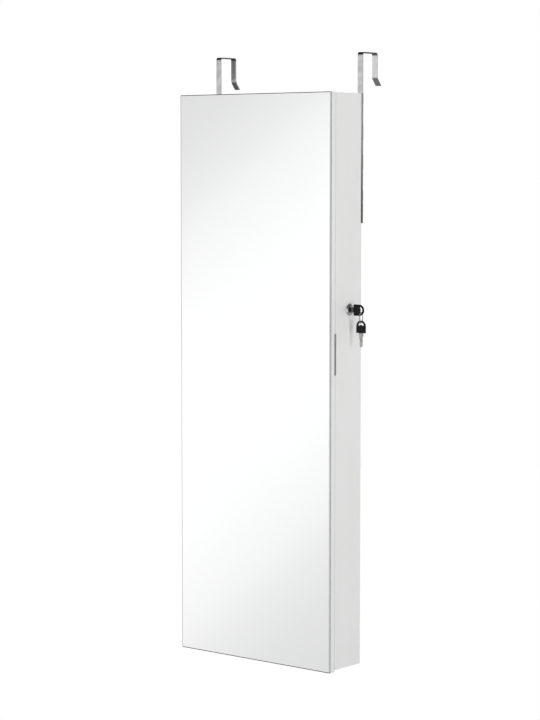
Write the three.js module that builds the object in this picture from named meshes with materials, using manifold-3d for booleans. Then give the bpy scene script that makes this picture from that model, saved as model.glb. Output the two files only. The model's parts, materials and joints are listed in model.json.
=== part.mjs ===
// Over-the-door jewellery armoire: a shallow cabinet with a full-length mirror door, hung from a room door
// on two steel hook straps. Millimetres, +Z up. The front of the mirror faces -Y, +X is the viewer's right.
// The origin is where the cabinet hangs: midway across it, on the plane where the rear pads meet the room
// door (Y = 0), at the top edge of that door (Z = 0).
import * as THREE from "three";
import { mergeVertices } from "three/addons/utils/BufferGeometryUtils.js";
import Module from "manifold-3d";

const wasm = await Module();
wasm.setup();

// ---- Driving dimensions -------------------------------------------------------------------------------
// Inside this file the cabinet has its own frame: x from its centre line, y from the front of the mirror,
// z from the bottom edge of the door.
const FIT = 0.3; // gap between two pieces that touch
const PAST = 1; // how far a cutter runs past the face that it opens
const HALF_ROUND = 0.3; // of a radius, the middle point of a rounded edge that is drawn with two flats
const FACETS = { hole: 12, small: 16, usual: 24, plug: 32, rosette: 40, nut: 6, curve: 12 };
const WIDTH = 370;
const DOOR_HEIGHT = 1090;
const HANG_RISE = 74; // door's top edge to the underside of the hook bridges

const GLASS_THICKNESS = 4.5;
const GLASS_CHAMFER = 0.8;
const DOOR_THICKNESS = 16.6;
const SEAM = 0.6; // gap between the closed door and the body

const BODY = { bottom: 3.4, top: 1089, front: DOOR_THICKNESS + SEAM, back: 96 };
const PANEL = 12; // side, top and bottom boards
const BACK_BOARD = 8;
const LINING = 2; // velvet-covered board on the back
const INSIDE = {
  half: WIDTH / 2 - PANEL,
  bottom: BODY.bottom + PANEL,
  top: BODY.top - PANEL,
  back: BODY.back - BACK_BOARD - FIT - LINING,
};

const STRAP = {
  width: 12,
  thickness: 2,
  low: 845.6,
  reach: 45, // front leg to back leg, centre to centre
  legEnd: 1118.5,
  lip: { out: 11.5, down: 14 },
  bend: 4,
  lipBend: { left: 18, right: 4 },
  centres: { left: -169.3, right: 180.8 },
};
const PAD_THICKNESS = 3;
const PAD_SPANS = { upper: [1069.5, 1088], second: [1003, 1031], third: [946, 974], lower: [846, 908] };
const SCREW = {
  heights: [927, 1050],
  spareHole: 988,
  pilot: 7, // depth of its hole in the body
  length: 9.1,
  radius: 1.5,
  point: { tip: 0.9, first: 1, length: 2.5 },
  head: { radius: 3.6, height: 2.2, rim: 1.1, crown: 2.5 },
  cross: { depth: 1.1, arm: 1.8, half: 0.5 },
};

const HINGE = {
  heights: [120, 545, 970],
  length: 50,
  leaf: 1.2,
  reach: 10.5, // leaf width inward from the knuckle
  knuckle: 2.6,
  pin: 1.3,
  offset: 3, // pin axis outside the left side
  head: { radius: 2.2, crown: 1.55, rim: 0.7, height: 1.2 },
};

const PULL = { low: 562.6, high: 641.3, front: 14.1, back: 19.7, depth: 10 };

const LOCK = {
  y: 58,
  z: 684.2,
  rosette: 11.8,
  rosetteThickness: 2.5,
  round: 1.2, // edge of the rosette's face
  barrel: 9,
  bore: 5.9,
  plug: 5.6,
  plugRecess: 0.4,
  plugEnd: 164.7, // x of the shoulder that the cam sits against
  tail: 6.4, // square tail that turns the cam
  tailRoot: 0.5, // how far the tail is sunk in the plug
  tapped: { radius: 1.6, depth: 2 }, // hole for the cam's screw
  nut: { radius: 14.4, thickness: 4.2 },
};
const CAM = { thickness: 2, reach: 36, width: 10, eye: 8, hook: 12, hookWidth: 4 };
const CAM_SCREW = { head: 4.5, crown: 3.4, height: 2.2, rim: 1.2, shank: 1.3, bite: 1.5 };
const STRIKER = { width: 12, plate: 2, foot: 18, lipFront: 29, lipLow: 5.5, lipHigh: 20 };

const BOW = {
  length: 23.5,
  width: 21,
  thickness: 3.2,
  straight: 12.5,
  bevel: 0.6,
  rim: 3.1,
  fieldInset: 2.9,
  field: 2.4, // thickness between the two sunk fields
};
const BOW_SLOT = { inner: 14, nub: 15.4, nubHalf: 2.2 };
const BLADE = { thickness: 2.2, neck: 10, neckLength: 5, taper: 3, width: 6.6, length: 26.5 };
const BLADE_TIP = { top: 3, half: 0.8, bottom: 2 };
const BITES = { count: 5, first: 2, least: 0.7, step: 0.5, kinds: 3, from: 0.4, to: 0.6 };
const TANG = { width: 6, length: 6, thickness: 1 };
const KEY_STAND_OFF = 12; // bow's flat end to the outside of the side panel
const RING = { radius: 10.2, wire: 0.75, yaw: THREE.MathUtils.degToRad(20), atBow: 17 };
const RING_SLACK = { inKey: 0.6, inSpare: 0.9, spread: 1.4 }; // spread: the yawed wire's reach along the bow

const SHELF = { thickness: 6, front: 34, tops: { upper: 590, middle: 400, lower: 210 } };
const RAIL = { height: 30, thickness: 2.7 };
const RING_FRAME = { half: 110, low: 648, high: 784, front: 58, wall: 4, back: 3, rolls: 8, rollFront: 1.5 };
const NECKLACE = {
  half: 150,
  z: 1036,
  height: 16,
  thickness: 4,
  hooks: 9,
  end: 10, // last hook to the end of the rail
  arm: 26,
  tip: 9,
  rod: 3,
};
const ROD = { z: 520, y: 60, radius: 5, cup: 9, cupDepth: 8, socket: 6 };
const EARRING = { left: -150, right: 130, heights: [1040, 700], half: 9, depth: 11, plate: 2.5, leg: 4 };
const CATCH = { z: 1010, height: 32, width: 12, depth: 26, plate: 1.2, plateInset: 2 };
const DOOR_LINING = { left: -168, right: 148, low: 30, high: 1062, thickness: 1.5 };

const BACK_PLANE = BODY.back + FIT; // front face of the straps' lower legs
const PAD_REAR = BACK_PLANE + STRAP.thickness + FIT + PAD_THICKNESS;

// ---- Finishes -----------------------------------------------------------------------------------------
function finish(color, roughness, metalness) {
  return new THREE.MeshStandardMaterial({ color, roughness, metalness });
}

const lacquer = () => finish(0xf0f0ef, 0.42, 0);
const steel = () => finish(0xb9bbbc, 0.34, 1);
const chrome = () => finish(0xd6d8da, 0.12, 1);
const mirror = () => finish(0xf2f5f6, 0.03, 1);
const velvet = () => finish(0x1d1c1f, 0.95, 0);
const blackPlastic = () => finish(0x101011, 0.35, 0);
const foam = () => finish(0x2b2b2c, 0.95, 0);
const clearPlastic = () => finish(0xdfe6e8, 0.1, 0);

// ---- Shape helpers ------------------------------------------------------------------------------------
const span = (low, high) => [high - low, (low + high) / 2];

// A block between two opposite corners.
function block([x0, x1], [y0, y1], [z0, z1]) {
  const [width, x] = span(x0, x1);
  const [depth, y] = span(y0, y1);
  const [height, z] = span(z0, z1);
  return new THREE.BoxGeometry(width, depth, height).translate(x, y, z);
}

// A round rod along x, y or z between two coordinates, centred on the other two.
function rod(axis, radius, [from, to], [a, b], sides = FACETS.usual) {
  const [length, middle] = span(from, to);
  const geometry = new THREE.CylinderGeometry(radius, radius, length, sides);
  if (axis === "x") return geometry.rotateZ(Math.PI / 2).translate(middle, a, b);
  if (axis === "y") return geometry.translate(a, middle, b);
  return geometry.rotateX(Math.PI / 2).translate(a, b, middle);
}

// A flat outline in the (y, z) plane, drawn with its first coordinate along y, given a thickness along x.
function plateAlongX(shape, [x0, x1], options = {}) {
  return new THREE.ExtrudeGeometry(shape, { depth: x1 - x0, bevelEnabled: false, ...options })
    .rotateX(Math.PI / 2)
    .rotateZ(Math.PI / 2)
    .translate(x0, 0, 0);
}

function polygon(points) {
  return new THREE.Shape(points.map(([a, b]) => new THREE.Vector2(a, b)));
}

function solid(geometry) {
  const bare = geometry.clone();
  bare.deleteAttribute("normal");
  bare.deleteAttribute("uv");
  const merged = mergeVertices(bare, 1e-4);
  const vertProperties = new Float32Array(merged.attributes.position.array);
  const triVerts = new Uint32Array(merged.index.array);
  return new wasm.Manifold(new wasm.Mesh({ numProp: 3, vertProperties, triVerts }));
}

function geometryOf(body) {
  const { vertProperties, triVerts } = body.getMesh();
  const geometry = new THREE.BufferGeometry();
  geometry.setAttribute("position", new THREE.BufferAttribute(new Float32Array(vertProperties), 3));
  geometry.setIndex(new THREE.BufferAttribute(new Uint32Array(triVerts), 1));
  geometry.computeVertexNormals();
  return geometry;
}

function cut(from, ...tools) {
  return geometryOf(tools.reduce((body, tool) => body.subtract(solid(tool)), solid(from)));
}

function join(first, ...rest) {
  return geometryOf(rest.reduce((body, part) => body.add(solid(part)), solid(first)));
}

const armoire = new THREE.Group();
armoire.position.set(0, -PAD_REAR, -(DOOR_HEIGHT + HANG_RISE));

function place(name, geometry, material, parent = armoire) {
  const mesh = new THREE.Mesh(geometry, material);
  mesh.name = name;
  parent.add(mesh);
  return mesh;
}

// A centre line whose corners are rounded, as a list of points. A corner may have a radius of its own.
function roundedLine(corners, usualRadius, steps = 4) {
  const points = corners.map(([a, b]) => new THREE.Vector2(a, b));
  const line = [points[0]];
  for (let i = 1; i < points.length - 1; i++) {
    const before = points[i].clone().sub(points[i - 1]).normalize();
    const after = points[i + 1].clone().sub(points[i]).normalize();
    const radius = corners[i][2] ?? usualRadius;
    const setBack = radius * Math.tan(Math.acos(before.dot(after)) / 2);
    const start = points[i].clone().addScaledVector(before, -setBack);
    const end = points[i].clone().addScaledVector(after, setBack);
    line.push(...new THREE.QuadraticBezierCurve(start, points[i], end).getPoints(steps));
  }
  line.push(points.at(-1));
  return line;
}

// The outline of a strip of even thickness that follows a centre line.
function ribbon(line, thickness) {
  const side = (sign) =>
    line.map((point, i) => {
      const before = point.clone().sub(line[i - 1] ?? point);
      const after = (line[i + 1] ?? point).clone().sub(point);
      const one = before.lengthSq() ? before.normalize() : after.clone().normalize();
      const two = after.lengthSq() ? after.normalize() : one;
      const along = one.clone().add(two).normalize();
      const across = new THREE.Vector2(-along.y, along.x);
      return point.clone().addScaledVector(across, (sign * thickness) / 2 / along.dot(one));
    });
  return new THREE.Shape([...side(1), ...side(-1).reverse()]);
}

// A turned piece: its profile gives (radius, position along the axis).
function turned(axis, profile, [a, b], sides = FACETS.usual) {
  const points = profile.map(([radius, along]) => new THREE.Vector2(radius, along));
  const geometry = new THREE.LatheGeometry(points, sides);
  if (axis === "x") return geometry.rotateZ(-Math.PI / 2).translate(0, a, b);
  if (axis === "y") return geometry.translate(a, 0, b);
  return geometry.rotateX(Math.PI / 2).translate(a, b, 0);
}

// ---- Body boards --------------------------------------------------------------------------------------
const HALF = WIDTH / 2;
const STRAP_SIDES = Object.entries(STRAP.centres);

function screwHoles(x, along = [BODY.back - SCREW.pilot, BODY.back + PAST], heights = SCREW.heights) {
  return heights.map((z) => rod("y", SCREW.radius + FIT, along, [x, z], FACETS.hole));
}

const pullMiddle = (PULL.front + PULL.back) / 2;
const pullRadius = (PULL.back - PULL.front) / 2;

// The finger pull: a slot with round ends, half in the door's edge and half in the body's.
function pullCutter() {
  const outline = new THREE.Shape();
  outline.absarc(pullMiddle, PULL.high - pullRadius, pullRadius, 0, Math.PI);
  outline.absarc(pullMiddle, PULL.low + pullRadius, pullRadius, Math.PI, 2 * Math.PI);
  return plateAlongX(outline, [HALF - PULL.depth, HALF + PAST], { curveSegments: FACETS.curve });
}

function hingeMortises([y0, y1]) {
  const inner = -HALF - HINGE.offset + HINGE.knuckle + HINGE.reach + FIT;
  return HINGE.heights.map((z) => {
    const half = HINGE.length / 2 + FIT;
    return block([-HALF - PAST, inner], [y0, y1], [z - half, z + half]);
  });
}

function sidePanel(side) {
  const x = side === "left" ? [-HALF, -HALF + PANEL] : [HALF - PANEL, HALF];
  const board = block(x, [BODY.front, BODY.back], [BODY.bottom, BODY.top]);
  if (side === "left") {
    const depth = BODY.front + HINGE.leaf + 2 * FIT;
    return cut(board, ...hingeMortises([BODY.front - PAST, depth]));
  }
  const lockHole = rod("x", LOCK.barrel + FIT, [HALF - PANEL - PAST, HALF + PAST], [LOCK.y, LOCK.z]);
  return cut(board, pullCutter(), lockHole, ...screwHoles(STRAP.centres.right));
}

place("side_panel_left", sidePanel("left"), lacquer());
place("side_panel_right", sidePanel("right"), lacquer());

const between = [-INSIDE.half + FIT, INSIDE.half - FIT];
const upright = [INSIDE.bottom + FIT, INSIDE.top - FIT];
const depthwise = [BODY.front, BODY.back];
place("top_panel", block(between, depthwise, [INSIDE.top, BODY.top]), lacquer());
place("bottom_panel", block(between, depthwise, [BODY.bottom, INSIDE.bottom]), lacquer());

const backBoard = block(between, [BODY.back - BACK_BOARD, BODY.back], upright);
place("back_panel", cut(backBoard, ...screwHoles(STRAP.centres.left)), lacquer());
place("back_lining", block(between, [INSIDE.back, INSIDE.back + LINING], upright), velvet());

// ---- Hook straps, their pads and screws ---------------------------------------------------------------
function hookStrap(side, x) {
  const front = BACK_PLANE + STRAP.thickness / 2;
  const back = front + STRAP.reach;
  const top = DOOR_HEIGHT + HANG_RISE + STRAP.thickness / 2;
  const corners = [
    [front, STRAP.low],
    [front, top],
    [back, top],
    [back, STRAP.legEnd, STRAP.lipBend[side]],
    [back + STRAP.lip.out, STRAP.legEnd - STRAP.lip.down],
  ];
  const outline = ribbon(roundedLine(corners, STRAP.bend), STRAP.thickness);
  const strip = plateAlongX(outline, [x - STRAP.width / 2, x + STRAP.width / 2]);
  const through = [BACK_PLANE - PAST, BACK_PLANE + STRAP.thickness + PAST];
  return cut(strip, ...screwHoles(x, through, [...SCREW.heights, SCREW.spareHole]));
}

function strapScrew(x, z) {
  const { length, radius, point, head, cross } = SCREW;
  const seat = BACK_PLANE + STRAP.thickness + FIT;
  const end = seat + head.height;
  const profile = [
    [0, seat - length],
    [point.tip, seat - length + point.first],
    [radius, seat - length + point.length],
    [radius, seat],
    [head.radius, seat],
    [head.radius, seat + head.rim],
    [head.crown, end],
    [0, end],
  ];
  const recess = [end - cross.depth, end + PAST];
  const arm = [-cross.arm, cross.arm];
  const slit = [-cross.half, cross.half];
  const from = (middle, offsets) => offsets.map((offset) => middle + offset);
  const level = block(from(x, arm), recess, from(z, slit));
  const plumb = block(from(x, slit), recess, from(z, arm));
  return cut(turned("y", profile, [x, z], FACETS.small), level, plumb);
}

for (const [side, x] of STRAP_SIDES) {
  place(`hook_strap_${side}`, hookStrap(side, x), steel());
  const across = [x - STRAP.width / 2, x + STRAP.width / 2];
  for (const [name, heights] of Object.entries(PAD_SPANS)) {
    place(`strap_pad_${side}_${name}`, block(across, [PAD_REAR - PAD_THICKNESS, PAD_REAR], heights), foam());
  }
  SCREW.heights.forEach((z, i) => {
    place(`strap_screw_${side}_${i + 1}`, strapScrew(x, z), steel());
  });
}

// ---- Door ---------------------------------------------------------------------------------------------
// The mirror covers the whole front; its polished edge is chamfered front and back.
function mirrorGlass() {
  const c = GLASS_CHAMFER;
  const outline = polygon([
    [-HALF + c, c],
    [HALF - c, c],
    [HALF - c, DOOR_HEIGHT - c],
    [-HALF + c, DOOR_HEIGHT - c],
  ]);
  const bevel = { bevelEnabled: true, bevelSize: c, bevelThickness: c, bevelSegments: 1 };
  const depth = GLASS_THICKNESS - 2 * c;
  return new THREE.ExtrudeGeometry(outline, { depth, ...bevel })
    .rotateX(Math.PI / 2)
    .translate(0, GLASS_THICKNESS - c, 0);
}

function doorBoard() {
  const board = block([-HALF, HALF], [GLASS_THICKNESS + FIT, DOOR_THICKNESS], [0, DOOR_HEIGHT]);
  const depth = DOOR_THICKNESS - HINGE.leaf - 2 * FIT;
  return cut(board, pullCutter(), ...hingeMortises([depth, DOOR_THICKNESS + PAST]));
}

const DOOR_INNER = DOOR_THICKNESS + FIT; // where pieces fixed to the door's inner face start
place("mirror_glass", mirrorGlass(), mirror());
place("door_board", doorBoard(), lacquer());
place(
  "door_lining",
  block(
    [DOOR_LINING.left, DOOR_LINING.right],
    [DOOR_INNER, DOOR_INNER + DOOR_LINING.thickness],
    [DOOR_LINING.low, DOOR_LINING.high],
  ),
  velvet(),
);

// ---- Hinges -------------------------------------------------------------------------------------------
const PIN = { x: -HALF - HINGE.offset, y: DOOR_THICKNESS + SEAM / 2 };

// One leaf of a butt hinge: a plate let into the wood, and knuckles round the pin. The body's leaf has the
// two outer knuckles and the door's leaf has the middle one.
function hingeLeaf(part, z) {
  const low = z - HINGE.length / 2;
  const high = z + HINGE.length / 2;
  const third = HINGE.length / 3;
  const outer = [
    [low, low + third],
    [high - third, high],
  ];
  const middle = [[low + third + FIT, high - third - FIT]];
  const own = part === "body" ? outer : middle;
  const other = part === "body" ? middle : outer;
  const face = part === "body" ? BODY.front + FIT / 2 : DOOR_THICKNESS - FIT / 2 - HINGE.leaf;
  const root = PIN.x + (HINGE.knuckle + HINGE.pin) / 2;
  const inner = PIN.x + HINGE.knuckle + HINGE.reach;
  const plate = block([root, inner], [face, face + HINGE.leaf], [low, high]);
  const clearance = other.map(([from, to]) =>
    rod("z", HINGE.knuckle + FIT, [from - FIT, to + FIT], [PIN.x, PIN.y]),
  );
  const knuckles = own.map((heights) => rod("z", HINGE.knuckle, heights, [PIN.x, PIN.y]));
  const bore = rod("z", HINGE.pin + FIT, [low - PAST, high + PAST], [PIN.x, PIN.y], FACETS.small);
  return cut(join(cut(plate, ...clearance), ...knuckles), bore);
}

function hingePin(z) {
  const half = HINGE.length / 2 + FIT;
  const { radius, crown, rim, height } = HINGE.head;
  const upper = [
    [HINGE.pin, half],
    [radius, half],
    [radius, half + rim],
    [crown, half + height],
    [0, half + height],
  ];
  const lower = upper.map(([across, along]) => [across, -along]).reverse();
  const profile = [...lower, ...upper].map(([across, along]) => [across, z + along]);
  return turned("z", profile, [PIN.x, PIN.y], FACETS.small);
}

HINGE.heights.forEach((z, i) => {
  const name = ["lower", "middle", "upper"][i];
  place(`hinge_${name}_body_leaf`, hingeLeaf("body", z), steel());
  place(`hinge_${name}_door_leaf`, hingeLeaf("door", z), steel());
  place(`hinge_${name}_pin`, hingePin(z), steel());
});

// ---- Cam lock in the right side -----------------------------------------------------------------------
const lockAt = [LOCK.y, LOCK.z];
const rosetteFace = HALF + FIT + LOCK.rosetteThickness;
const plugFace = rosetteFace - LOCK.plugRecess;
const camSpan = [LOCK.plugEnd - FIT - CAM.thickness, LOCK.plugEnd - FIT];
const bladeTip = HALF + KEY_STAND_OFF - BLADE.length;

function lockBarrel() {
  const rear = LOCK.plugEnd + FIT;
  const { round } = LOCK;
  return turned(
    "x",
    [
      [LOCK.bore, rear],
      [LOCK.barrel, rear],
      [LOCK.barrel, HALF + FIT],
      [LOCK.rosette, HALF + FIT],
      [LOCK.rosette, rosetteFace - round],
      [LOCK.rosette - round * HALF_ROUND, rosetteFace - round * HALF_ROUND],
      [LOCK.rosette - round, rosetteFace],
      [LOCK.bore, rosetteFace],
      [LOCK.bore, rear],
    ],
    lockAt,
    FACETS.rosette,
  );
}

function lockNut() {
  const wall = INSIDE.half - FIT;
  const inner = wall - LOCK.nut.thickness;
  return cut(
    rod("x", LOCK.nut.radius, [inner, wall], lockAt, FACETS.nut),
    rod("x", LOCK.barrel + FIT, [inner - PAST, wall + PAST], lockAt),
  );
}

const square = (half, x) => block(x, [LOCK.y - half, LOCK.y + half], [LOCK.z - half, LOCK.z + half]);

function lockPlug() {
  const tailEnd = camSpan[0] - FIT;
  const keyway = block(
    [bladeTip - FIT, rosetteFace + PAST],
    [LOCK.y - BLADE.thickness / 2 - FIT, LOCK.y + BLADE.thickness / 2 + FIT],
    [LOCK.z - BLADE.width / 2 - FIT, LOCK.z + BLADE.width / 2 + FIT],
  );
  const body = join(
    rod("x", LOCK.plug, [LOCK.plugEnd, plugFace], lockAt, FACETS.plug),
    square(LOCK.tail / 2, [tailEnd, LOCK.plugEnd + LOCK.tailRoot]),
  );
  const { radius, depth } = LOCK.tapped;
  const tapped = rod("x", radius, [tailEnd - PAST, LOCK.plugEnd + depth], lockAt, FACETS.hole);
  return cut(body, keyway, tapped);
}

// At rest the cam hangs down, unlocked. Its hook points at the door.
function lockCam() {
  const { y, z } = LOCK;
  const half = CAM.width / 2;
  const bar = block(camSpan, [y - half, y + half], [z - CAM.reach, z]);
  const hook = block(camSpan, [y - CAM.hook, y], [z - CAM.reach, z - CAM.reach + CAM.hookWidth]);
  const eye = rod("x", CAM.eye, camSpan, lockAt, FACETS.plug);
  const hole = square(LOCK.tail / 2 + FIT, [camSpan[0] - PAST, camSpan[1] + PAST]);
  return cut(join(bar, hook, eye), hole);
}

function camScrew() {
  const { head, crown, height, rim, shank, bite } = CAM_SCREW;
  const seat = camSpan[0] - 2 * FIT;
  const profile = [
    [0, seat - height],
    [crown, seat - height],
    [head, seat - rim],
    [head, seat],
    [shank, seat],
    [shank, LOCK.plugEnd + bite],
    [0, LOCK.plugEnd + bite],
  ];
  return turned("x", profile, lockAt, FACETS.small);
}

function lockStriker() {
  const { plate, foot, lipFront, lipLow, lipHigh, width } = STRIKER;
  const y = DOOR_INNER;
  const outline = polygon([
    [y, LOCK.z + lipHigh - plate],
    [lipFront, LOCK.z + lipHigh - plate],
    [lipFront, LOCK.z + lipLow],
    [lipFront + plate, LOCK.z + lipLow],
    [lipFront + plate, LOCK.z + lipHigh],
    [y + plate, LOCK.z + lipHigh],
    [y + plate, LOCK.z + lipHigh + foot],
    [y, LOCK.z + lipHigh + foot],
  ]);
  const middle = (camSpan[0] + camSpan[1]) / 2;
  return plateAlongX(outline, [middle - width / 2, middle + width / 2]);
}

place("lock_barrel", lockBarrel(), chrome());
place("lock_nut", lockNut(), steel());
place("lock_plug", lockPlug(), chrome());
place("lock_cam", lockCam(), steel());
place("cam_screw", camScrew(), steel());
place("lock_striker", lockStriker(), steel());

// ---- Keys ---------------------------------------------------------------------------------------------
// A key is drawn with its bow's flat end at the origin, the bow along +x and the blade along -x, both in
// the (x, z) plane.
const halfBow = BOW.width / 2;
const lay = (geometry, thickness) => geometry.translate(0, 0, -thickness / 2).rotateX(Math.PI / 2);

function bowOutline(inset) {
  const shape = new THREE.Shape();
  const half = halfBow - inset;
  const end = BOW.length - BOW.straight - inset;
  shape.moveTo(inset, -half);
  shape.lineTo(BOW.straight, -half);
  shape.absellipse(BOW.straight, 0, end, half, -Math.PI / 2, Math.PI / 2);
  shape.lineTo(inset, half);
  return shape;
}

// The crescent near the round end that the ring passes through, with a small point on its inner edge.
function bowSlot() {
  const end = BOW.length - BOW.straight - BOW.rim;
  const half = halfBow - BOW.rim;
  const start = Math.acos((BOW_SLOT.inner - BOW.straight) / end);
  const shape = new THREE.Shape();
  shape.absellipse(BOW.straight, 0, end, half, -start, start);
  shape.lineTo(BOW_SLOT.inner, BOW_SLOT.nubHalf);
  shape.quadraticCurveTo(BOW_SLOT.nub, BOW_SLOT.nubHalf, BOW_SLOT.nub, 0);
  shape.quadraticCurveTo(BOW_SLOT.nub, -BOW_SLOT.nubHalf, BOW_SLOT.inner, -BOW_SLOT.nubHalf);
  return shape;
}

function keyBow() {
  const { bevel, thickness, field, fieldInset } = BOW;
  const edge = { bevelEnabled: true, bevelSize: bevel, bevelThickness: bevel, bevelSegments: 2 };
  const extrude = (shape, depth, options = { bevelEnabled: false }) =>
    new THREE.ExtrudeGeometry(shape, { depth, curveSegments: FACETS.curve, ...options });
  const depth = thickness - 2 * bevel;
  const blank = lay(extrude(bowOutline(bevel), depth, edge), depth);
  const tall = thickness + 2 * PAST;
  const slot = lay(extrude(bowSlot(), tall), tall);
  const pocket = (from) => extrude(bowOutline(fieldInset), PAST).translate(0, 0, from).rotateX(Math.PI / 2);
  const socket = block(
    [-PAST, TANG.length + FIT],
    [-TANG.thickness / 2 - FIT, TANG.thickness / 2 + FIT],
    [-TANG.width / 2 - FIT, TANG.width / 2 + FIT],
  );
  return cut(blank, slot, pocket(field / 2), pocket(-field / 2 - PAST), socket);
}

function keyBlade() {
  const neck = BLADE.neck / 2;
  const half = BLADE.width / 2;
  const shoulder = -FIT - BLADE.neckLength;
  const root = shoulder - BLADE.taper;
  const tip = -BLADE.length;
  const { count, first, least, step, kinds, from, to } = BITES;
  const pitch = (root - first - (tip + BLADE_TIP.top)) / count;
  const shape = new THREE.Shape();
  shape.moveTo(-FIT, -neck);
  shape.lineTo(-FIT, neck);
  shape.lineTo(shoulder, neck);
  shape.lineTo(root, half);
  for (let i = 0; i < count; i++) {
    const at = root - first - i * pitch;
    const depth = least + step * ((i * 2) % kinds);
    shape.lineTo(at, half);
    shape.lineTo(at - pitch * from, half - depth);
    shape.lineTo(at - pitch * to, half - depth);
  }
  shape.lineTo(tip + BLADE_TIP.top, half);
  shape.lineTo(tip, BLADE_TIP.half);
  shape.lineTo(tip, -BLADE_TIP.half);
  shape.lineTo(tip + BLADE_TIP.bottom, -half);
  shape.lineTo(root, -half);
  shape.lineTo(shoulder, -neck);
  const { thickness } = BLADE;
  const plate = lay(new THREE.ExtrudeGeometry(shape, { depth: thickness, bevelEnabled: false }), thickness);
  const tang = block(
    [-FIT - PAST, TANG.length],
    [-TANG.thickness / 2, TANG.thickness / 2],
    [-TANG.width / 2, TANG.width / 2],
  );
  return join(plate, tang);
}

function placeKey(prefix, group) {
  place(`${prefix}_bow`, keyBow(), blackPlastic(), group);
  place(`${prefix}_blade`, keyBlade(), steel(), group);
  armoire.add(group);
}

const key = new THREE.Group();
key.position.set(HALF + KEY_STAND_OFF, LOCK.y, LOCK.z);
placeKey("key", key);

// The ring hangs in the lower end of the key's crescent, turned a little from square to the bow.
const slotReach = (along) => {
  const end = BOW.length - BOW.straight - BOW.rim;
  return (halfBow - BOW.rim) * Math.sqrt(1 - ((along - BOW.straight) / end) ** 2);
};
const ringLift = slotReach(RING.atBow + RING_SLACK.spread) - RING_SLACK.inKey;
const ringInner = RING.radius - RING.wire;
const ringCentre = { x: HALF + KEY_STAND_OFF + RING.atBow, z: LOCK.z - ringLift - ringInner };
const ring = new THREE.Group();
ring.position.set(ringCentre.x, LOCK.y, ringCentre.z);
ring.rotation.z = RING.yaw;
const torus = new THREE.TorusGeometry(RING.radius, RING.wire, FACETS.hole, FACETS.rosette);
place("key_ring", torus.rotateY(Math.PI / 2), steel(), ring);
armoire.add(ring);

// The spare key hangs from the bottom of the ring, blade down.
const spare = new THREE.Group();
const slotEnd = BOW.length - BOW.rim;
spare.position.set(ringCentre.x, LOCK.y, ringCentre.z - ringInner + RING_SLACK.inSpare - slotEnd);
spare.rotation.y = -Math.PI / 2;
placeKey("spare_key", spare);

// ---- Inside the body ----------------------------------------------------------------------------------
const shelfDepth = [SHELF.front, INSIDE.back - FIT];
const railDepth = [SHELF.front - FIT - RAIL.thickness, SHELF.front - FIT];
const clearRail = (low, floor) => block(between, railDepth, [low, floor + RAIL.height]);
for (const [name, top] of Object.entries(SHELF.tops)) {
  const bottom = top - SHELF.thickness;
  place(`shelf_${name}`, block(between, shelfDepth, [bottom, top]), lacquer());
  place(`shelf_rail_${name}`, clearRail(bottom, top), clearPlastic());
}
place("floor_rail", clearRail(INSIDE.bottom + FIT, INSIDE.bottom), clearPlastic());

// A shallow box on the back lining, open to the front, packed with velvet rolls that grip rings.
function ringFrame() {
  const { half, low, high, front, wall, back } = RING_FRAME;
  const rear = INSIDE.back - FIT;
  return cut(
    block([-half, half], [front, rear], [low, high]),
    block([-half + wall, half - wall], [front - PAST, rear - back], [low + wall, high - wall]),
  );
}

function ringCushion() {
  const { half, low, high, front, wall, back, rolls, rollFront } = RING_FRAME;
  const bottom = low + wall + FIT;
  const pitch = (high - wall - FIT - bottom) / rolls;
  const rear = INSIDE.back - 2 * FIT - back;
  const radius = pitch / 2;
  const shape = new THREE.Shape();
  shape.moveTo(rear, bottom);
  shape.lineTo(rear, high - wall - FIT);
  for (let i = rolls - 1; i >= 0; i--) {
    const z = bottom + (i + 0.5) * pitch;
    shape.absarc(front + rollFront + radius, z, radius, Math.PI / 2, (3 * Math.PI) / 2);
  }
  return plateAlongX(shape, [-half + wall + FIT, half - wall - FIT], { curveSegments: FACETS.curve / 2 });
}

place("ring_frame", ringFrame(), lacquer());
place("ring_cushion", ringCushion(), velvet());

// A moulded rail with upturned hooks for necklaces.
function necklaceRail() {
  const { half, z, height, thickness, hooks, end, arm, tip, rod: width } = NECKLACE;
  const rear = INSIDE.back - FIT;
  const face = rear - thickness;
  const bar = block([-half, half], [face, rear], [z - height / 2, z + height / 2]);
  const pitch = (2 * (half - end)) / (hooks - 1);
  const pieces = [];
  for (let i = 0; i < hooks; i++) {
    const x = -half + end + i * pitch;
    const across = [x - width / 2, x + width / 2];
    const low = z - width / 2;
    pieces.push(block(across, [face - arm, face + PAST], [low, low + width]));
    pieces.push(block(across, [face - arm, face - arm + width], [low, low + tip + width]));
  }
  return join(bar, ...pieces);
}

place("necklace_rail", necklaceRail(), steel());

// A rod for bracelets, held in a cup on each side panel.
for (const [side, sign] of [
  ["left", -1],
  ["right", 1],
]) {
  const wall = sign * (INSIDE.half - FIT);
  const mouth = wall - sign * ROD.cupDepth;
  const floor = mouth + sign * ROD.socket;
  const sorted = (a, b) => [Math.min(a, b), Math.max(a, b)];
  const cup = cut(
    rod("x", ROD.cup, sorted(wall, mouth), [ROD.y, ROD.z], FACETS.plug),
    rod("x", ROD.radius + FIT, sorted(mouth - sign, floor), [ROD.y, ROD.z]),
  );
  place(`rod_cup_${side}`, cup, chrome());
}
const rodEnd = INSIDE.half - FIT - ROD.cupDepth + ROD.socket - FIT;
place("bracelet_rod", rod("x", ROD.radius, [-rodEnd, rodEnd], [ROD.y, ROD.z]), chrome());

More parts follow.
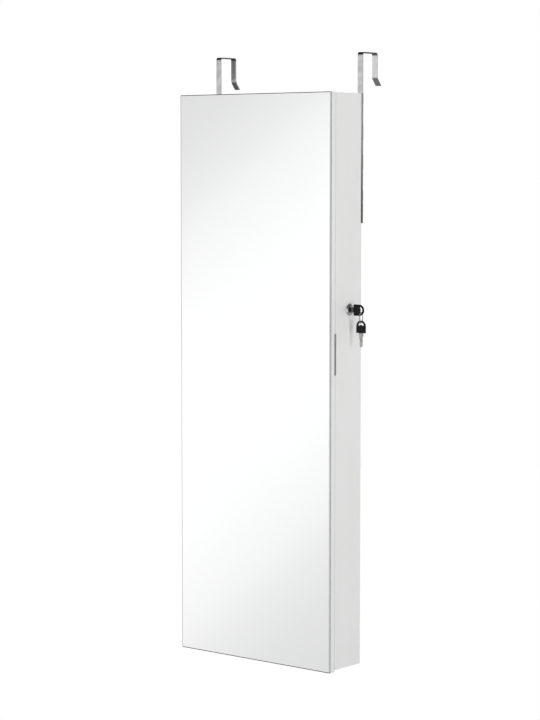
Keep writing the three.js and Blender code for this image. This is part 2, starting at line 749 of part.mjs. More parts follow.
// Magnetic catch at the top of the right side, and its plate on the door.
const catchWall = INSIDE.half - FIT;
const catchHeights = [CATCH.z - CATCH.height / 2, CATCH.z + CATCH.height / 2];
const catchFront = DOOR_INNER + CATCH.plate + SEAM;
place(
  "magnetic_catch",
  block([catchWall - CATCH.width, catchWall], [catchFront, catchFront + CATCH.depth], catchHeights),
  lacquer(),
);
place(
  "catch_plate",
  block(
    [catchWall - CATCH.width, catchWall - CATCH.plateInset],
    [DOOR_INNER, DOOR_INNER + CATCH.plate],
    catchHeights,
  ),
  steel(),
);

// ---- Inside the door ----------------------------------------------------------------------------------
// Earring rails: each is a strip that stands off the door's lining on a leg at each end.
function earringRail(z) {
  const { left, right, half, depth, plate, leg } = EARRING;
  const foot = DOOR_INNER + DOOR_LINING.thickness + FIT;
  const front = foot + depth;
  return cut(
    block([left, right], [foot, front], [z - half, z + half]),
    block([left + leg, right - leg], [foot - PAST, front - plate], [z - half - PAST, z + half + PAST]),
  );
}

EARRING.heights.forEach((z, i) => {
  place(`earring_rail_${i + 1}`, earringRail(z), clearPlastic());
});

export default armoire;
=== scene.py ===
"""Looks of an over-the-door jewellery armoire with a mirror door, hung on two steel hook straps."""

import json
import math

import bmesh
import bpy
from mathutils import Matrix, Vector, noise


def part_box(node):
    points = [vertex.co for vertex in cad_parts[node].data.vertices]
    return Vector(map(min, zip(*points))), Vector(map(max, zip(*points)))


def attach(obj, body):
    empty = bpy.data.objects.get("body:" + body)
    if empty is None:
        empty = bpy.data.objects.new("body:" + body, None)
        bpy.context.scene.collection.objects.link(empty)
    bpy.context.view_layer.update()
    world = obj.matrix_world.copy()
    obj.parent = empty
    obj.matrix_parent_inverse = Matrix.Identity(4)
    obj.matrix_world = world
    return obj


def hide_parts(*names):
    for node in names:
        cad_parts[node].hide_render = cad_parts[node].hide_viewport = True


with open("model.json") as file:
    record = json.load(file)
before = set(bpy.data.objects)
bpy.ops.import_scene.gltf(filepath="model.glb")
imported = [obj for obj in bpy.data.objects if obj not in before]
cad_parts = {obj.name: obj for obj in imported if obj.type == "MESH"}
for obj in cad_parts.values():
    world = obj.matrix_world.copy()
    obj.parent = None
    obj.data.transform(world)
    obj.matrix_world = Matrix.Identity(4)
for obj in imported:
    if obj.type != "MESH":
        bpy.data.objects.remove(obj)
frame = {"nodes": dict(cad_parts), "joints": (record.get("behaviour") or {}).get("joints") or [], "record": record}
NODES = frame["nodes"]
JOINTS = {joint["name"]: joint for joint in frame["joints"]}
SLOT_OF = {part["node"]: part["material_slot"] for part in frame["record"]["subparts"]}
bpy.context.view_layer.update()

MM = 0.001

scene = bpy.context.scene
scene.view_settings.view_transform = "Standard"


def add_object(name, data):
    obj = bpy.data.objects.new(name, data)
    scene.collection.objects.link(obj)
    return obj


# ---- Camera ---------------------------------------------------------------------------------
EYE = Vector((2.7329, -3.3742, -0.2102))
FORWARD = Vector((-0.63286, 0.76941, -0.08663))
LENS = 111.8
SENSOR = 36
NEAR, FAR = 0.05, 100


def make_camera():
    data = bpy.data.cameras.new("camera")
    data.lens = LENS
    data.sensor_width = SENSOR
    data.clip_start, data.clip_end = NEAR, FAR
    camera = add_object("camera", data)
    camera.location = EYE
    camera.rotation_euler = FORWARD.to_track_quat("-Z", "Y").to_euler()
    scene.camera = camera


make_camera()


# ---- Node trees -----------------------------------------------------------------------------
def grey(level):
    return (level, level, level, 1)


class Graph:
    """A short way to write node trees. Inputs are sockets or constants, by name or number."""

    def __init__(self, tree):
        self.tree = tree
        tree.nodes.clear()

    def link(self, source, socket):
        self.tree.links.new(source, socket)

    def add(self, kind, inputs=None, **settings):
        node = self.tree.nodes.new("ShaderNode" + kind)
        for key, value in settings.items():
            setattr(node, key, value)
        for key, value in (inputs or {}).items():
            if isinstance(value, bpy.types.NodeSocket):
                self.link(value, node.inputs[key])
            else:
                node.inputs[key].default_value = value
        return node

    def math(self, operation, a, b=0.0, c=0.0):
        return self.add("Math", {0: a, 1: b, 2: c}, operation=operation).outputs[0]

    def product(self, value, *factors):
        for factor in factors:
            value = self.math("MULTIPLY", value, factor)
        return value

    def vector(self, operation, a, b=(0, 0, 0)):
        return self.add("VectorMath", {0: a, 1: b}, operation=operation).outputs

    def smooth(self, value, low, high, to_low=0.0, to_high=1.0):
        inputs = {"Value": value, "From Min": low, "From Max": high, "To Min": to_low, "To Max": to_high}
        return self.add("MapRange", inputs, interpolation_type="SMOOTHSTEP").outputs["Result"]

    def smooth_from(self, origin, value, span, *levels):
        """A smooth step over a span that is counted from an origin."""
        return self.smooth(value, origin + span[0], origin + span[1], *levels)

    def scaled(self, vector, scale):
        return self.add("Mapping", {"Vector": vector, "Scale": scale}).outputs["Vector"]

    def noise(self, vector, scale=1.0, detail=3.0):
        return self.add("TexNoise", {"Vector": vector, "Scale": scale, "Detail": detail}).outputs["Fac"]

    def cells(self, vector, scale, output="Distance"):
        inputs = {"Vector": vector, "Scale": scale}
        return self.add("TexVoronoi", inputs, feature="F1").outputs[output]

    def mix(self, factor, a, b, blend="MIX"):
        node = self.add("Mix", {0: factor}, data_type="RGBA", blend_type=blend)
        for index, value in ((6, a), (7, b)):
            if isinstance(value, bpy.types.NodeSocket):
                self.link(value, node.inputs[index])
            else:
                node.inputs[index].default_value = value
        return node.outputs[2]

    def between(self, factor, a, b):
        """A number between a and b."""
        return self.add("Mix", {0: factor, 2: a, 3: b}, data_type="FLOAT").outputs[0]

    def separate(self, vector):
        return self.add("SeparateXYZ", {0: vector}).outputs


# ---- World, floor and lights ----------------------------------------------------------------
# The levels of the room over one coordinate of a direction: where a change starts, where it
# ends, and the level at each.
SIDES = (-0.25, 0.35, 0.15, 0.62)
AHEAD = (-0.70, -0.96, 0.0, 0.82)
CEILING = (0.15, 0.50, 1.0, 0.20)
SLOPE = (-0.24, 0.06, 0.90, 1.16)
SLOPE_AXIS = (0.8, 0.0, 1.0)
# The bank of light: its level by distance from the band that runs across it, and the cosines
# of the angles from its middle where it ends and where it is full.
BANK_AXIS = (0.7115, -0.4731, -0.9962)
BANK_SCALE = 2.0
BANK_LEVELS = (
    (0.0, 1.08),
    (0.098, 1.04),
    (0.152, 0.985),
    (0.178, 0.95),
    (0.206, 0.885),
    (0.258, 0.81),
    (0.296, 0.78),
    (0.5, 0.66),
    (1.0, 0.55),
)
BANK_REACH = (0.86, 0.975)
BACKDROP = 1.0

FLOOR_Z = -2.03  # the foot of a room door of usual height, below its top edge at z = 0
FLOOR_RADIUS = 2.85
FLOOR_SEGMENTS = 96
FLOOR_TONES = (0.42, 0.45)
FLOOR_ROUGHNESS = 0.75
FLOOR_MOTTLE = 1.5
FLOOR_GRAIN = 160.0
FLOOR_BUMP = {"Distance": 0.4 * MM, "Strength": 0.3}
FLOOR_GLOW = (0.8, 2.6, 0.42, 1.0)  # what the camera sees, by distance from the floor's middle
FLOOR_FADE = (1.5, 2.75)  # where the room takes over from the floor, for all but the camera

# Each light's place, the point it faces, its width and height, and its power.
LIGHTS = {
    "key": ((3.3, -0.75, -0.7), (0.185, -0.03, -0.62), (1.1, 1.8), 46),
    "fill": ((-3.0, -2.8, 0.3), (0, 0, -0.6), (2.2, 2.4), 70),
    "rear": ((-0.6, 3.8, 0.3), (0, 0, -0.6), (2.6, 2.4), 100),
    "over": ((0, -0.6, 2.6), (0, 0, -0.3), (2.4, 2.4), 34),
}


def make_world():
    """A white room: a broad soft bank of light in front and to the left, and dimmer walls."""
    world = bpy.data.worlds.new("room")
    scene.world = world
    world.use_nodes = True
    g = Graph(world.node_tree)
    way = g.add("TexCoord").outputs["Generated"]
    # Walls: pale on the right, dark on the left and above, with a slope of light straight ahead.
    x, y, z = g.separate(way)
    slope = g.smooth(g.vector("DOT_PRODUCT", way, SLOPE_AXIS)["Value"], *SLOPE)
    ahead = g.product(g.smooth(y, *AHEAD), slope)
    walls = g.math("MAXIMUM", g.smooth(x, *SIDES), ahead)
    walls = g.product(walls, g.smooth(z, *CEILING))
    # The bank faces the mirror as the camera sees it.
    across = g.math("ABSOLUTE", g.vector("DOT_PRODUCT", way, BANK_AXIS)["Value"])
    ramp = g.add("ValToRGB", {"Fac": g.product(across, BANK_SCALE)})
    elements = ramp.color_ramp.elements
    while len(elements) < len(BANK_LEVELS):
        elements.new(0.5)
    for element, (position, level) in zip(elements, BANK_LEVELS):
        element.position = position
        element.color = grey(level)
    bank = Vector((FORWARD.x, -FORWARD.y, FORWARD.z)).normalized()
    near = g.smooth(g.vector("DOT_PRODUCT", way, tuple(bank))["Value"], *BANK_REACH)
    level = g.between(near, walls, ramp.outputs["Color"])
    seen = g.add("LightPath").outputs["Is Camera Ray"]
    level = g.between(seen, level, BACKDROP)
    background = g.add("Background", {"Color": grey(1), "Strength": level})
    g.add("OutputWorld", {"Surface": background.outputs[0]})


def make_floor():
    """A round pale floor that fades into the white backdrop, and into the room in reflections."""
    mesh = bpy.data.meshes.new("floor")
    shape = bmesh.new()
    bmesh.ops.create_circle(shape, cap_ends=True, radius=FLOOR_RADIUS, segments=FLOOR_SEGMENTS)
    shape.to_mesh(mesh)
    shape.free()
    floor = add_object("floor", mesh)
    floor.location = (0, 0, FLOOR_Z)
    material = bpy.data.materials.new("floor_pale")
    material.use_nodes = True
    material.cycles.emission_sampling = "NONE"
    g = Graph(material.node_tree)
    at = g.add("TexCoord").outputs["Object"]
    away = g.vector("LENGTH", at)["Value"]
    seen = g.add("LightPath").outputs["Is Camera Ray"]
    glow = g.product(seen, g.smooth(away, *FLOOR_GLOW))
    fade = g.product(g.math("SUBTRACT", 1.0, seen), g.smooth(away, *FLOOR_FADE))
    bump = g.add("Bump", {"Height": g.noise(at, FLOOR_GRAIN), **FLOOR_BUMP})
    inputs = {
        "Base Color": g.mix(g.noise(at, FLOOR_MOTTLE, 4.0), *map(grey, FLOOR_TONES)),
        "Roughness": FLOOR_ROUGHNESS,
        "Normal": bump.outputs[0],
        "Emission Color": grey(1),
        "Emission Strength": glow,
    }
    shader = g.add("BsdfPrincipled", inputs)
    clear = g.add("BsdfTransparent")
    faded = g.add("MixShader", {0: fade, 1: shader.outputs[0], 2: clear.outputs[0]})
    g.add("OutputMaterial", {"Surface": faded.outputs[0]})
    mesh.materials.append(material)


def soft_light(name, place, target, size, watts):
    data = bpy.data.lights.new(name, "AREA")
    data.shape = "RECTANGLE"
    data.size, data.size_y = size
    data.energy = watts
    light = add_object(name, data)
    light.location = place
    light.rotation_euler = (Vector(target) - Vector(place)).to_track_quat("-Z", "Y").to_euler()
    light.visible_camera = False
    light.visible_glossy = False


make_world()
make_floor()
for light_name, light_facts in LIGHTS.items():
    soft_light(light_name, *light_facts)

# ---- Materials ------------------------------------------------------------------------------
MATERIALS = {}
DRIFT = (0.3, 0.7)  # the part of a noise's range that is used
BUMP_STRENGTH = 0.6
METAL = {"Metallic": 1.0}


class Surface(Graph):
    """A material whose colour drifts between two tones, with uneven roughness and a fine bump.

    patch: scales of the drift's noise. grain: scales of the bump's noise. rough: lowest and
    highest roughness. depth: height of the bump. extra: the shader's other sockets.
    """

    def __init__(self, name, colour, other, patch, grain, rough, depth=0.1 * MM, extra=None):
        material = bpy.data.materials.new(name)
        material.use_nodes = True
        super().__init__(material.node_tree)
        self.at = self.add("TexCoord").outputs["Object"]
        drift = self.noise(self.scaled(self.at, patch), detail=4.0)
        self.tone = self.mix(self.smooth(drift, *DRIFT), (*other, 1), (*colour, 1))
        fine = self.noise(self.scaled(self.at, grain))
        uneven = self.math("MULTIPLY_ADD", fine, 0.5, self.product(drift, 0.5))
        self.rough = self.smooth(uneven, *DRIFT, *rough)
        bump = {"Height": fine, "Distance": depth, "Strength": BUMP_STRENGTH}
        self.bump = self.add("Bump", bump)
        inputs = {"Base Color": self.tone, "Roughness": self.rough, "Normal": self.bump.outputs[0]}
        inputs.update(extra or {})
        self.shader = self.add("BsdfPrincipled", inputs)
        self.add("OutputMaterial", {"Surface": self.shader.outputs[0]})
        MATERIALS[name] = material

    def paint(self, colour):
        self.link(colour, self.shader.inputs["Base Color"])

    def raised(self, height):
        """Replaces the fine bump by a height in metres."""
        self.link(height, self.bump.inputs["Height"])
        for socket in ("Distance", "Strength"):
            self.bump.inputs[socket].default_value = 1.0


# The finger pull: lowest and highest x, then the middle and half the size in y and in z.
PULL_X = (180 * MM, 189.6 * MM)
PULL_Y = (-84.7 * MM, 2.9 * MM)
PULL_Z = (-562.05 * MM, 39.4 * MM)
# Painted shade for the inside of the finger pull.
PULL_SHADE_TONE = (0.56, 0.555, 0.55, 1)
# The painted shadow line that the right strap casts on the side panel: a skin under the outer face, a strip along
# the back edge, a sharp lower end, and the fade above it.
STRAP_SHADOW_SKIN = (-0.35 * MM, -0.25 * MM)
STRAP_SHADOW_STRIP = (-1.7 * MM, -1.5 * MM)
STRAP_SHADOW_END = (0.0, 0.5 * MM)
STRAP_SHADOW_FADE = (30 * MM, 190 * MM)
STRAP_SHADOW_LEVELS = (1.0, 0.4)
STRAP_SHADOW_TONE = grey(0.05)


def make_lacquer():
    """Sprayed satin lacquer on fibreboard: fine orange peel and a warmer, duller drift."""
    g = Surface(
        "white_lacquer",
        (0.865, 0.865, 0.862),
        (0.842, 0.841, 0.836),
        patch=(9, 9, 3),
        grain=(420, 420, 300),
        rough=(0.36, 0.46),
        depth=0.06 * MM,
        extra={"Specular IOR Level": 0.42},
    )
    x, y, z = g.separate(g.at)
    # Painted shade: the cut faces inside the finger pull are painted a darker grey than the lacquer.
    inside = g.product(
        g.math("GREATER_THAN", x, PULL_X[0]),
        g.math("LESS_THAN", x, PULL_X[1]),
        g.math("COMPARE", y, *PULL_Y),
        g.math("COMPARE", z, *PULL_Z),
    )
    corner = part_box("side_panel_right")[1]
    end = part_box("hook_strap_right")[0].z
    # Painted shadow of the right strap along the side panel's back edge.
    strap_shadow = g.product(
        g.smooth_from(corner.x, x, STRAP_SHADOW_SKIN),
        g.smooth_from(corner.y, y, STRAP_SHADOW_STRIP),
        g.smooth_from(end, z, STRAP_SHADOW_END),
        g.smooth_from(end, z, STRAP_SHADOW_FADE, *STRAP_SHADOW_LEVELS),
    )
    g.paint(g.mix(strap_shadow, g.mix(inside, g.tone, PULL_SHADE_TONE), STRAP_SHADOW_TONE))


PAINTED_LIGHT_UP = (-0.6, 0.9)  # of the normal's z: where the painted shade is darkest and where the painted light is palest
# The dark and pale tones of the painted light and shade on the ring rolls.
PAINTED_LIGHT_TONES = ((0.006, 0.006, 0.007, 1), (0.13, 0.124, 0.134, 1))
PAINTED_LIGHT_SHARE = 0.65


def make_velvet(name, colour, other):
    """Dark pile with a pale sheen, brushed in changing directions."""
    return Surface(
        name,
        colour,
        other,
        patch=(55, 55, 90),
        grain=(2600, 2600, 2600),
        rough=(0.85, 0.98),
        depth=0.4 * MM,
        extra={"Sheen Weight": 0.55, "Sheen Roughness": 0.35, "Specular IOR Level": 0.15},
    )


def make_ring_velvet():
    """Velvet of the ring rolls with painted light and shade: paler on their upper side, dark underneath."""
    g = make_velvet("ring_velvet", (0.045, 0.042, 0.047), (0.022, 0.020, 0.023))
    # Painted light and shade: the velvet is paler where it faces up and darker where it faces down.
    up = g.separate(g.add("NewGeometry").outputs["Normal"])["Z"]
    pile = g.mix(g.smooth(up, *PAINTED_LIGHT_UP), *PAINTED_LIGHT_TONES)
    g.paint(g.mix(PAINTED_LIGHT_SHARE, g.tone, pile))


# Places on the hook straps: where each one starts, and where it is full.
STRAP_REAR_LEG = (30 * MM, 38 * MM)
STRAP_LEFT = (20 * MM, -20 * MM)
STRAP_RIGHT = (-20 * MM, 20 * MM)
STRAP_OVER_LIP = (-45 * MM, -36 * MM)
STRAP_BEND = (-5.5 * MM, -1.2 * MM)
STRAP_LIP = (-44 * MM, -46.5 * MM)
STRAP_BEHIND = (-70 * MM, -76 * MM)
STRAP_EDGE = (0.4, 0.7)  # of the normal's x
LIP_SHADE_LEVELS = (0.35, 0.85)  # how strong the painted shade is on the left lip, and on the right one
# How strong the painted shade on the straps is, and its tone.
STRAP_SHADE_SHARE = 0.85
STRAP_SHADE_TONE = grey(0.06)
TWIST = 0.25
TWIST_LEVELS = (0.6, 1.0)  # by the lip, and above it
LINE_DEPTH = 0.012 * MM
BOW_DEPTH = 0.9 * MM


def make_brushed_steel():
    """Brushed stainless strip, never quite flat. Bends, lips and the edges behind the cabinet get painted shade,
    and the left leg is twisted.
    """
    g = Surface(
        "brushed_steel",
        (0.80, 0.80, 0.795),
        (0.62, 0.62, 0.615),
        patch=(700, 12, 12),
        grain=(1500, 20, 20),
        rough=(0.14, 0.30),
        extra=METAL,
    )
    x, y, z = g.separate(g.at)
    rear = g.smooth(y, *STRAP_REAR_LEG)
    low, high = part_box("hook_strap_left")
    from_middle = g.math("SUBTRACT", x, (low.x + high.x) / 2)
    over_lip = g.smooth(z, *STRAP_OVER_LIP, *TWIST_LEVELS)
    left = g.product(rear, g.smooth(x, *STRAP_LEFT), over_lip)
    twist = g.product(from_middle, TWIST, left)
    lines = g.noise(g.scaled(g.at, (1300, 12, 12)), detail=2.0)
    bow = g.noise(g.scaled(g.at, (40, 30, 62)), detail=0.0)
    height = g.math("MULTIPLY_ADD", lines, LINE_DEPTH, twist)
    g.raised(g.math("MULTIPLY_ADD", bow, BOW_DEPTH, height))
    # Painted shade at the bends, on the lips and on the side edges behind the cabinet.
    lip = g.product(rear, g.smooth(z, *STRAP_LIP), g.smooth(x, *STRAP_RIGHT, *LIP_SHADE_LEVELS))
    out = g.math("ABSOLUTE", g.separate(g.add("NewGeometry").outputs["Normal"])["X"])
    behind = g.product(g.smooth(out, *STRAP_EDGE), g.smooth(z, *STRAP_BEHIND))
    strap_shade = g.math("MAXIMUM", g.math("MAXIMUM", g.smooth(z, *STRAP_BEND), lip), behind)
    g.paint(g.mix(g.product(strap_shade, STRAP_SHADE_SHARE), g.tone, STRAP_SHADE_TONE))


FOAM_CELLS = 1300.0  # per metre


def make_foam():
    """Closed-cell foam: matt, with small open cells."""
    g = Surface(
        "pad_foam",
        (0.060, 0.060, 0.062),
        (0.026, 0.026, 0.028),
        patch=(160, 160, 160),
        grain=(1500, 1500, 1500),
        rough=(0.88, 0.98),
        depth=0.5 * MM,
        extra={"Specular IOR Level": 0.2},
    )
    g.link(g.cells(g.at, FOAM_CELLS), g.bump.inputs["Height"])


SPANGLES = 700.0  # per metre
SPANGLE_SHARE = 0.12


def make_fastener_steel():
    """Zinc-plated fasteners: small crystals of slightly different grey."""
    g = Surface(
        "fastener_steel",
        (0.64, 0.64, 0.63),
        (0.50, 0.50, 0.50),
        patch=(300, 300, 300),
        grain=(1800, 1800, 1800),
        rough=(0.26, 0.42),
        depth=0.04 * MM,
        extra=METAL,
    )
    g.paint(g.mix(SPANGLE_SHARE, g.tone, g.cells(g.at, SPANGLES, "Color"), "OVERLAY"))


def make_plain_surfaces():
    """Hinges, necklace hooks, the moulded housing of the catch, and acrylic with faint rubs."""
    Surface(
        "hinge_steel",
        (0.70, 0.69, 0.67),
        (0.60, 0.59, 0.575),
        patch=(140, 140, 140),
        grain=(160, 160, 2600),
        rough=(0.18, 0.30),
        depth=0.02 * MM,
        extra=METAL,
    )
    Surface(
        "necklace_steel",
        (0.78, 0.78, 0.78),
        (0.70, 0.70, 0.70),
        patch=(140, 140, 140),
        grain=(90, 1500, 1500),
        rough=(0.09, 0.18),
        depth=0.02 * MM,
        extra=METAL,
    )
    Surface(
        "catch_plastic",
        (0.84, 0.84, 0.825),
        (0.80, 0.795, 0.78),
        patch=(60, 60, 60),
        grain=(2200, 2200, 2200),
        rough=(0.42, 0.55),
        depth=0.08 * MM,
    )
    Surface(
        "clear_acrylic",
        (0.95, 0.97, 0.97),
        (0.90, 0.94, 0.94),
        patch=(18, 18, 18),
        grain=(260, 260, 260),
        rough=(0.02, 0.09),
        depth=0.01 * MM,
        extra={"Transmission Weight": 1.0, "IOR": 1.49},
    )


DOME = -42.0  # the lock's face falls away by this times the square of the distance from its axis
# Where the plug is painted near black, how strongly, and its tone.
PLUG_RIM = (6.2 * MM, 5.4 * MM)
PLUG_DARKENING = 0.9
PLUG_TONE = (0.05, 0.048, 0.045, 1)
# The painted dark reflection on the key blade in the lock: its reach, where it starts in x, its strength and its
# tone.
BLADE_REFLECTION_REACH = (7 * MM, 5.5 * MM)  # above and below the lock's axis
BLADE_REFLECTION_X = (206 * MM, 204 * MM)
BLADE_REFLECTION_SHARE = 0.85
BLADE_REFLECTION_TONE = (0.05, 0.05, 0.048, 1)


def make_lock_metals():
    """Chrome that reads as a shallow dome round a plug painted near black, and nickel keys; the blade in the lock
    gets a painted dark reflection.
    """
    low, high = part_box("lock_barrel")
    centre = (low + high) / 2
    g = Surface(
        "lock_chrome",
        (0.86, 0.86, 0.87),
        (0.76, 0.76, 0.77),
        patch=(140, 140, 140),
        grain=(700, 700, 700),
        rough=(0.05, 0.11),
        extra=METAL,
    )
    from_centre = g.vector("SUBTRACT", g.at, tuple(centre))["Vector"]
    across = g.vector("MULTIPLY", from_centre, (0, 1, 1))["Vector"]
    reach = g.vector("LENGTH", across)["Value"]
    g.raised(g.product(reach, reach, DOME))
    # The plug in the middle is painted near black.
    plug_dark = g.product(g.smooth(reach, *PLUG_RIM), PLUG_DARKENING)
    g.paint(g.mix(plug_dark, g.tone, PLUG_TONE))
    g = Surface(
        "key_steel",
        (0.72, 0.71, 0.69),
        (0.50, 0.495, 0.48),
        patch=(260, 260, 260),
        grain=(220, 2200, 2200),
        rough=(0.16, 0.30),
        depth=0.02 * MM,
        extra=METAL,
    )
    # Painted reflection: the blade that lives in the lock is painted dark, for the dark bow and lock mirrored in
    # it.
    place = g.separate(g.at)
    from_axis = g.math("ABSOLUTE", g.math("SUBTRACT", place["Z"], centre.z))
    # Painted dark reflection on the blade by the lock.
    blade_reflection = g.product(g.smooth(from_axis, *BLADE_REFLECTION_REACH), BLADE_REFLECTION_SHARE, g.smooth(place["X"], *BLADE_REFLECTION_X))
    g.paint(g.mix(blade_reflection, g.tone, BLADE_REFLECTION_TONE))


BOW_FIELD = 1.45 * MM  # half the thickness of the bow's sunk field
PEBBLES = 900.0  # per metre
PEBBLE_DEPTH = 0.3 * MM
PEBBLE_TONES = (grey(0.003), (0.030, 0.030, 0.031, 1))
FIELD_DULLNESS = 0.36


def make_bow_plastic():
    """Moulded key head: a polished raised rim round a sunk field with a leather-like texture."""
    g = Surface(
        "black_plastic",
        (0.009, 0.009, 0.010),
        (0.005, 0.005, 0.006),
        patch=(200, 200, 200),
        grain=(900, 900, 900),
        rough=(0.16, 0.24),
        depth=0.01 * MM,
        extra={"Specular IOR Level": 0.14},
    )
    low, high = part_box("key_bow")
    side = g.math("SUBTRACT", g.separate(g.at)["Y"], (low.y + high.y) / 2)
    field = g.math("LESS_THAN", g.math("ABSOLUTE", side), BOW_FIELD)
    pebble = g.cells(g.at, PEBBLES)
    g.link(pebble, g.bump.inputs["Height"])
    g.link(g.product(field, PEBBLE_DEPTH), g.bump.inputs["Distance"])
    rough = g.math("MULTIPLY_ADD", field, FIELD_DULLNESS, g.rough)
    g.link(rough, g.shader.inputs["Roughness"])
    g.paint(g.mix(field, g.tone, g.mix(pebble, *PEBBLE_TONES)))


FACE_DEPTH = 0.1 * MM
SILVER_TONES = ((0.945, 0.955, 0.950, 1), (0.955, 0.960, 0.958, 1))
SMEARS = (0.45, 0.8, 0.0, 0.012)  # where in its noise the face is smeared, and how rough it is
EDGE_TONES = ((0.71, 0.735, 0.725, 1), (0.81, 0.83, 0.82, 1))
EDGE_ROUGH = (0.16, 0.30)
EDGE_BUMP = 0.01 * MM
# A painted dark reflection runs along the mirror's lower rim, and a little along the left one.
SHADE_RIM_UNDER = (1.9 * MM, 2.0 * MM)
SHADE_RIM_BESIDE = (1.7 * MM, 1.8 * MM)
SHADE_RIM_BESIDE_SHARE = 0.6
RIM_SHADE_TONE = (0.20, 0.21, 0.205, 1)


def make_mirror():
    """Silvered glass: a clean reflection on the front, and a polished edge all round."""
    material = bpy.data.materials.new("mirror_glass")
    material.use_nodes = True
    g = Graph(material.node_tree)
    at = g.add("TexCoord").outputs["Object"]
    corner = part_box("mirror_glass")[0]
    x, y, z = g.separate(at)
    face = g.math("LESS_THAN", y, corner.y + FACE_DEPTH)
    film = g.smooth(g.noise(at, 3.0, 4.0), *DRIFT)
    silver = g.mix(film, *SILVER_TONES)
    streak = g.noise(g.scaled(at, (900, 900, 14)))
    edge = g.mix(streak, *EDGE_TONES)
    under = g.smooth_from(corner.z, z, SHADE_RIM_UNDER, 1.0, 0.0)
    beside = g.smooth_from(corner.x, x, SHADE_RIM_BESIDE, SHADE_RIM_BESIDE_SHARE, 0.0)
    # Painted dark reflection along the lower and left rims.
    rim = g.math("MAXIMUM", under, beside)
    rough = g.smooth(g.noise(at, 45.0, 4.0), *SMEARS)
    edge_rough = g.smooth(streak, *DRIFT, *EDGE_ROUGH)
    height = g.product(streak, g.math("SUBTRACT", 1.0, face))
    inputs = {
        "Base Color": g.mix(rim, g.mix(face, edge, silver), RIM_SHADE_TONE),
        "Roughness": g.between(face, edge_rough, rough),
        "Normal": g.add("Bump", {"Height": height, "Distance": EDGE_BUMP}).outputs[0],
        "Metallic": 1.0,
    }
    shader = g.add("BsdfPrincipled", inputs)
    g.add("OutputMaterial", {"Surface": shader.outputs[0]})
    MATERIALS["mirror_glass"] = material


make_lacquer()
make_velvet("black_velvet", (0.030, 0.028, 0.033), (0.014, 0.013, 0.015))
make_ring_velvet()
make_brushed_steel()
make_foam()
make_fastener_steel()
make_plain_surfaces()
make_lock_metals()
make_bow_plastic()
make_mirror()

for node, obj in NODES.items():
    for slot in obj.material_slots:
        slot.material = MATERIALS[SLOT_OF[node]]

# ---- Edges of the carried-over pieces -------------------------------------------------------
# Width of the eased edge by material, in millimetres. The rest only get smooth round faces.
EASED = {
    "white_lacquer": 0.4,
    "brushed_steel": 0.35,
    "hinge_steel": 0.15,
    "fastener_steel": 0.15,
    "catch_plastic": 0.8,
    "clear_acrylic": 0.4,
    "necklace_steel": 0.5,
    "key_steel": 0.15,
    "mirror_glass": 1.4,
    "lock_chrome": 0.2,
    "black_plastic": 0.25,
}
CHAMFER_FROM = 1.0  # an edge wider than this is one flat chamfer
JOIN_DISTANCE = 0.002 * MM
SMOOTH_BELOW = math.radians(32)
EASE_ABOVE = math.radians(40)
FLAT_BELOW = math.radians(0.3)


def smoothing_group():
    """Geometry nodes that join a mesh's split corners and shade its shallow edges smooth."""
    tree = bpy.data.node_groups.new("join_and_smooth", "GeometryNodeTree")
    tree.interface.new_socket("Geometry", in_out="INPUT", socket_type="NodeSocketGeometry")
    tree.interface.new_socket("Geometry", in_out="OUTPUT", socket_type="NodeSocketGeometry")
    new = tree.nodes.new
    source, sink = new("NodeGroupInput"), new("NodeGroupOutput")
    merge = new("GeometryNodeMergeByDistance")
    merge.inputs["Distance"].default_value = JOIN_DISTANCE
    faces, edges = new("GeometryNodeSetShadeSmooth"), new("GeometryNodeSetShadeSmooth")
    faces.domain, edges.domain = "FACE", "EDGE"
    angle = new("GeometryNodeInputMeshEdgeAngle")
    compare = new("FunctionNodeCompare")
    compare.data_type, compare.operation = "FLOAT", "LESS_THAN"
    compare.inputs[1].default_value = SMOOTH_BELOW
    connect = tree.links.new
    connect(angle.outputs["Unsigned Angle"], compare.inputs[0])
    connect(source.outputs[0], merge.inputs["Geometry"])
    connect(merge.outputs[0], faces.inputs["Geometry"])
    connect(faces.outputs[0], edges.inputs["Geometry"])
    connect(compare.outputs[0], edges.inputs["Shade Smooth"])
    connect(edges.outputs[0], sink.inputs[0])
    return tree


JOIN_AND_SMOOTH = smoothing_group()


def ease_edges(obj, width):
    carried = obj.data.attributes.get("custom_normal")
    if carried:
        obj.data.attributes.remove(carried)
    chamfer = width > CHAMFER_FROM
    if chamfer:
        obj.data.polygons.foreach_set("use_smooth", [False] * len(obj.data.polygons))
        obj.modifiers.new("join", "WELD").merge_threshold = JOIN_DISTANCE
    else:
        obj.modifiers.new("join", "NODES").node_group = JOIN_AND_SMOOTH
    if not width:
        return
    flat = obj.modifiers.new("flat", "DECIMATE")
    flat.decimate_type = "DISSOLVE"
    flat.angle_limit = FLAT_BELOW
    bevel = obj.modifiers.new("eased", "BEVEL")
    bevel.width = width * MM
    bevel.segments = 1 if chamfer else 2
    bevel.limit_method = "ANGLE"
    bevel.angle_limit = EASE_ABOVE
    bevel.harden_normals = not chamfer


for node, obj in NODES.items():
    ease_edges(obj, EASED.get(SLOT_OF[node], 0.0))


# ---- Shape helpers --------------------------------------------------------------------------
def mesh_object(name, shape, material, body, smooth=True):
    bmesh.ops.recalc_face_normals(shape, faces=shape.faces)
    mesh = bpy.data.meshes.new(name)
    shape.to_mesh(mesh)
    shape.free()
    mesh.materials.append(MATERIALS[material])
    if smooth:
        mesh.polygons.foreach_set("use_smooth", [True] * len(mesh.polygons))
    obj = add_object(name, mesh)
    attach(obj, body)
    return obj


def join_rings(shape, one, two):
    """A band of faces between two closed rings of as many points."""
    for i in range(len(one)):
        j = (i + 1) % len(one)
        shape.faces.new((one[i], one[j], two[j], two[i]))


# Where a round edge has its points, as parts of its radius.
ROUND_AT = (0.0, 0.08, 0.3, 0.6)


